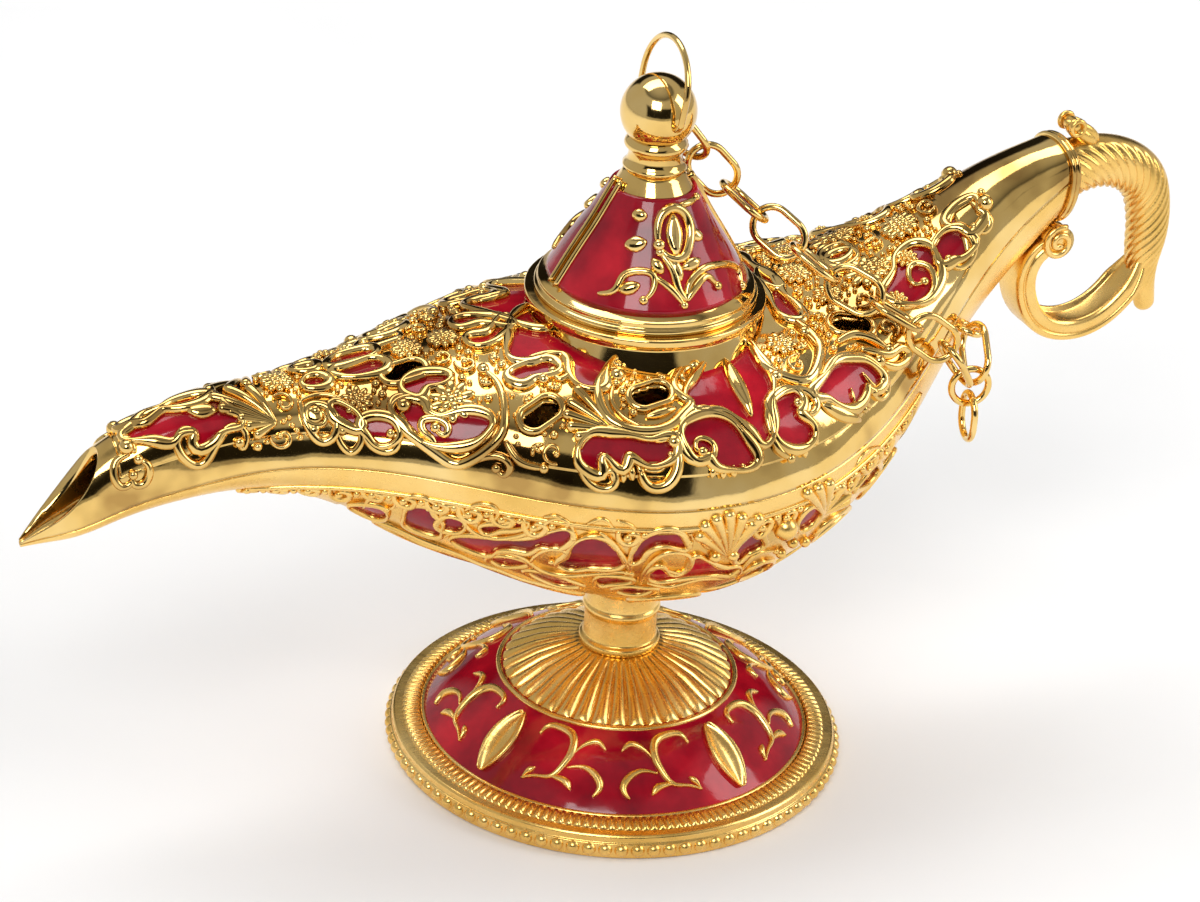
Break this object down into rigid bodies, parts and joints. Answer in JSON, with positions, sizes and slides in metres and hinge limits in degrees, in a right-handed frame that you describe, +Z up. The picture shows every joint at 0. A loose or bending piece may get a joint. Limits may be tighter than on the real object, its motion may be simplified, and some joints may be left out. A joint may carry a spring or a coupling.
{
  "type": "oil lamp",
  "caption": "Long-spouted table oil lamp on a round pedestal foot, with a lift-off conical lid on a safety chain, a ball finial, red enamel fields and a scroll handle.",
  "frame": {"origin": "centre of the underside of the round foot", "axes": "+X from the spout towards the handle, +Z up along the stem and the lid's axis, +Y to the left of the spout-to-handle line"},
  "size_m": [0.1946, 0.075, 0.123],
  "materials": {
    "polished_gold": "polished gold plate",
    "satin_gold": "satin gold plate",
    "red_enamel": "glossy translucent deep red cold enamel",
    "screw_steel": "zinc plated"
  },
  "bodies": {
    "body": {"foot": "satin_gold", "foot_enamel": "red_enamel", "stem": "satin_gold", "washer": "screw_steel", "tie_screw": "screw_steel", "bowl": "satin_gold", "bowl_enamel": "red_enamel", "upper_shell": "polished_gold", "shell_enamel": "red_enamel", "handle": "satin_gold", "chain_eyelet": "polished_gold"},
    "lid": {"lid": "polished_gold", "lid_enamel": "red_enamel", "finial": "polished_gold"},
    "finial_ring": {"finial_ring": "polished_gold"},
    "chain_link_12": {"chain_link_12": "polished_gold"},
    "chain_link_11": {"chain_link_11": "polished_gold"},
    "chain_link_10": {"chain_link_10": "polished_gold"},
    "chain_link_09": {"chain_link_09": "polished_gold"},
    "chain_link_08": {"chain_link_08": "polished_gold"},
    "chain_link_07": {"chain_link_07": "polished_gold"},
    "chain_link_06": {"chain_link_06": "polished_gold"},
    "chain_link_05": {"chain_link_05": "polished_gold"},
    "chain_link_04": {"chain_link_04": "polished_gold"},
    "chain_link_03": {"chain_link_03": "polished_gold"},
    "chain_link_02": {"chain_link_02": "polished_gold"},
    "chain_link_01": {"chain_link_01": "polished_gold"},
    "chain_link_13": {"chain_link_13": "polished_gold"}
  },
  "joints": [
    {"name": "lid_lift", "type": "slide", "parent": "body", "child": "lid", "axis": [0, 0, 1], "range_m": [0, 0.008]},
    {"name": "finial_ring_swing", "type": "hinge", "parent": "lid", "child": "finial_ring", "pos_m": [0, 0, 0.1104], "axis": [0, 1, 0], "range_deg": [-8, 10]},
    {"name": "link_12_turn", "type": "hinge", "parent": "body", "child": "chain_link_12", "pos_m": [0.05147, -0.01356, 0.07272], "axis": [-0.8929, 0.3708, -0.2552], "range_deg": [0, 30.84]},
    {"name": "link_11_turn", "type": "hinge", "parent": "chain_link_12", "child": "chain_link_11", "pos_m": [0.04984, -0.01924, 0.06822], "axis": [0.6999, -0.4273, 0.5723], "range_deg": [0, 9.73]},
    {"name": "link_10_turn", "type": "hinge", "parent": "chain_link_11", "child": "chain_link_10", "pos_m": [0.04729, -0.01871, 0.06786], "axis": [0.7928, -0.5469, -0.269], "range_deg": [0, 12.58]},
    {"name": "link_09_turn", "type": "hinge", "parent": "chain_link_10", "child": "chain_link_09", "pos_m": [0.04331, -0.02053, 0.0741], "axis": [0.9727, 0.2157, -0.0853], "range_deg": [0, 8.87]},
    {"name": "link_08_turn", "type": "hinge", "parent": "chain_link_09", "child": "chain_link_08", "pos_m": [0.03749, -0.01947, 0.07854], "axis": [0.7674, 0.5347, 0.354], "range_deg": [0, 6.86]},
    {"name": "link_07_turn", "type": "hinge", "parent": "chain_link_08", "child": "chain_link_07", "pos_m": [0.03167, -0.0163, 0.08196], "axis": [0.1607, 0.4647, 0.8708], "range_deg": [0, 4.9]},
    {"name": "link_06_turn", "type": "hinge", "parent": "chain_link_07", "child": "chain_link_06", "pos_m": [0.02641, -0.01185, 0.08478], "axis": [-0.3667, -0.3024, 0.8798], "range_deg": [0, 3.49]},
    {"name": "link_05_turn", "type": "hinge", "parent": "chain_link_06", "child": "chain_link_05", "pos_m": [0.02194, -0.00719, 0.08844], "axis": [0.0411, -0.6604, 0.7498], "range_deg": [0, 1.94]},
    {"name": "link_04_turn", "type": "hinge", "parent": "chain_link_05", "child": "chain_link_04", "pos_m": [0.01789, -0.00221, 0.0921], "axis": [0.2055, -0.9221, 0.3279], "range_deg": [0, 1.1]},
    {"name": "link_03_turn", "type": "hinge", "parent": "chain_link_04", "child": "chain_link_03", "pos_m": [0.01477, 0.00376, 0.09516], "axis": [-0.6754, -0.1695, -0.7177], "range_deg": [0, 7.92]},
    {"name": "link_02_turn", "type": "hinge", "parent": "chain_link_03", "child": "chain_link_02", "pos_m": [0.00994, 0.00538, 0.10056], "axis": [-0.3852, -0.667, -0.6377], "range_deg": [0, 2.31]},
    {"name": "link_01_turn", "type": "hinge", "parent": "chain_link_02", "child": "chain_link_01", "pos_m": [0.0054, 0.00677, 0.1065], "axis": [0.8204, -0.3683, 0.4373], "range_deg": [0, 3.1]},
    {"name": "link_13_swing", "type": "hinge", "parent": "chain_link_11", "child": "chain_link_13", "pos_m": [0.04912, -0.01909, 0.06395], "axis": [0.9701, -0.2004, 0.1366], "range_deg": [-20, 20]}
  ],
  "couplings": [
    {"joint": "link_12_turn", "follows": "lid_lift", "rad_per_m": 67.162},
    {"joint": "link_11_turn", "follows": "lid_lift", "rad_per_m": 21.128},
    {"joint": "link_10_turn", "follows": "lid_lift", "rad_per_m": 27.345},
    {"joint": "link_09_turn", "follows": "lid_lift", "rad_per_m": 19.252},
    {"joint": "link_08_turn", "follows": "lid_lift", "rad_per_m": 14.862},
    {"joint": "link_07_turn", "follows": "lid_lift", "rad_per_m": 10.574},
    {"joint": "link_06_turn", "follows": "lid_lift", "rad_per_m": 7.5012},
    {"joint": "link_05_turn", "follows": "lid_lift", "rad_per_m": 4.1213},
    {"joint": "link_04_turn", "follows": "lid_lift", "rad_per_m": 2.2952},
    {"joint": "link_03_turn", "follows": "lid_lift", "rad_per_m": 17.181},
    {"joint": "link_02_turn", "follows": "lid_lift", "rad_per_m": 4.9391},
    {"joint": "link_01_turn", "follows": "lid_lift", "rad_per_m": 6.6599}
  ]
}
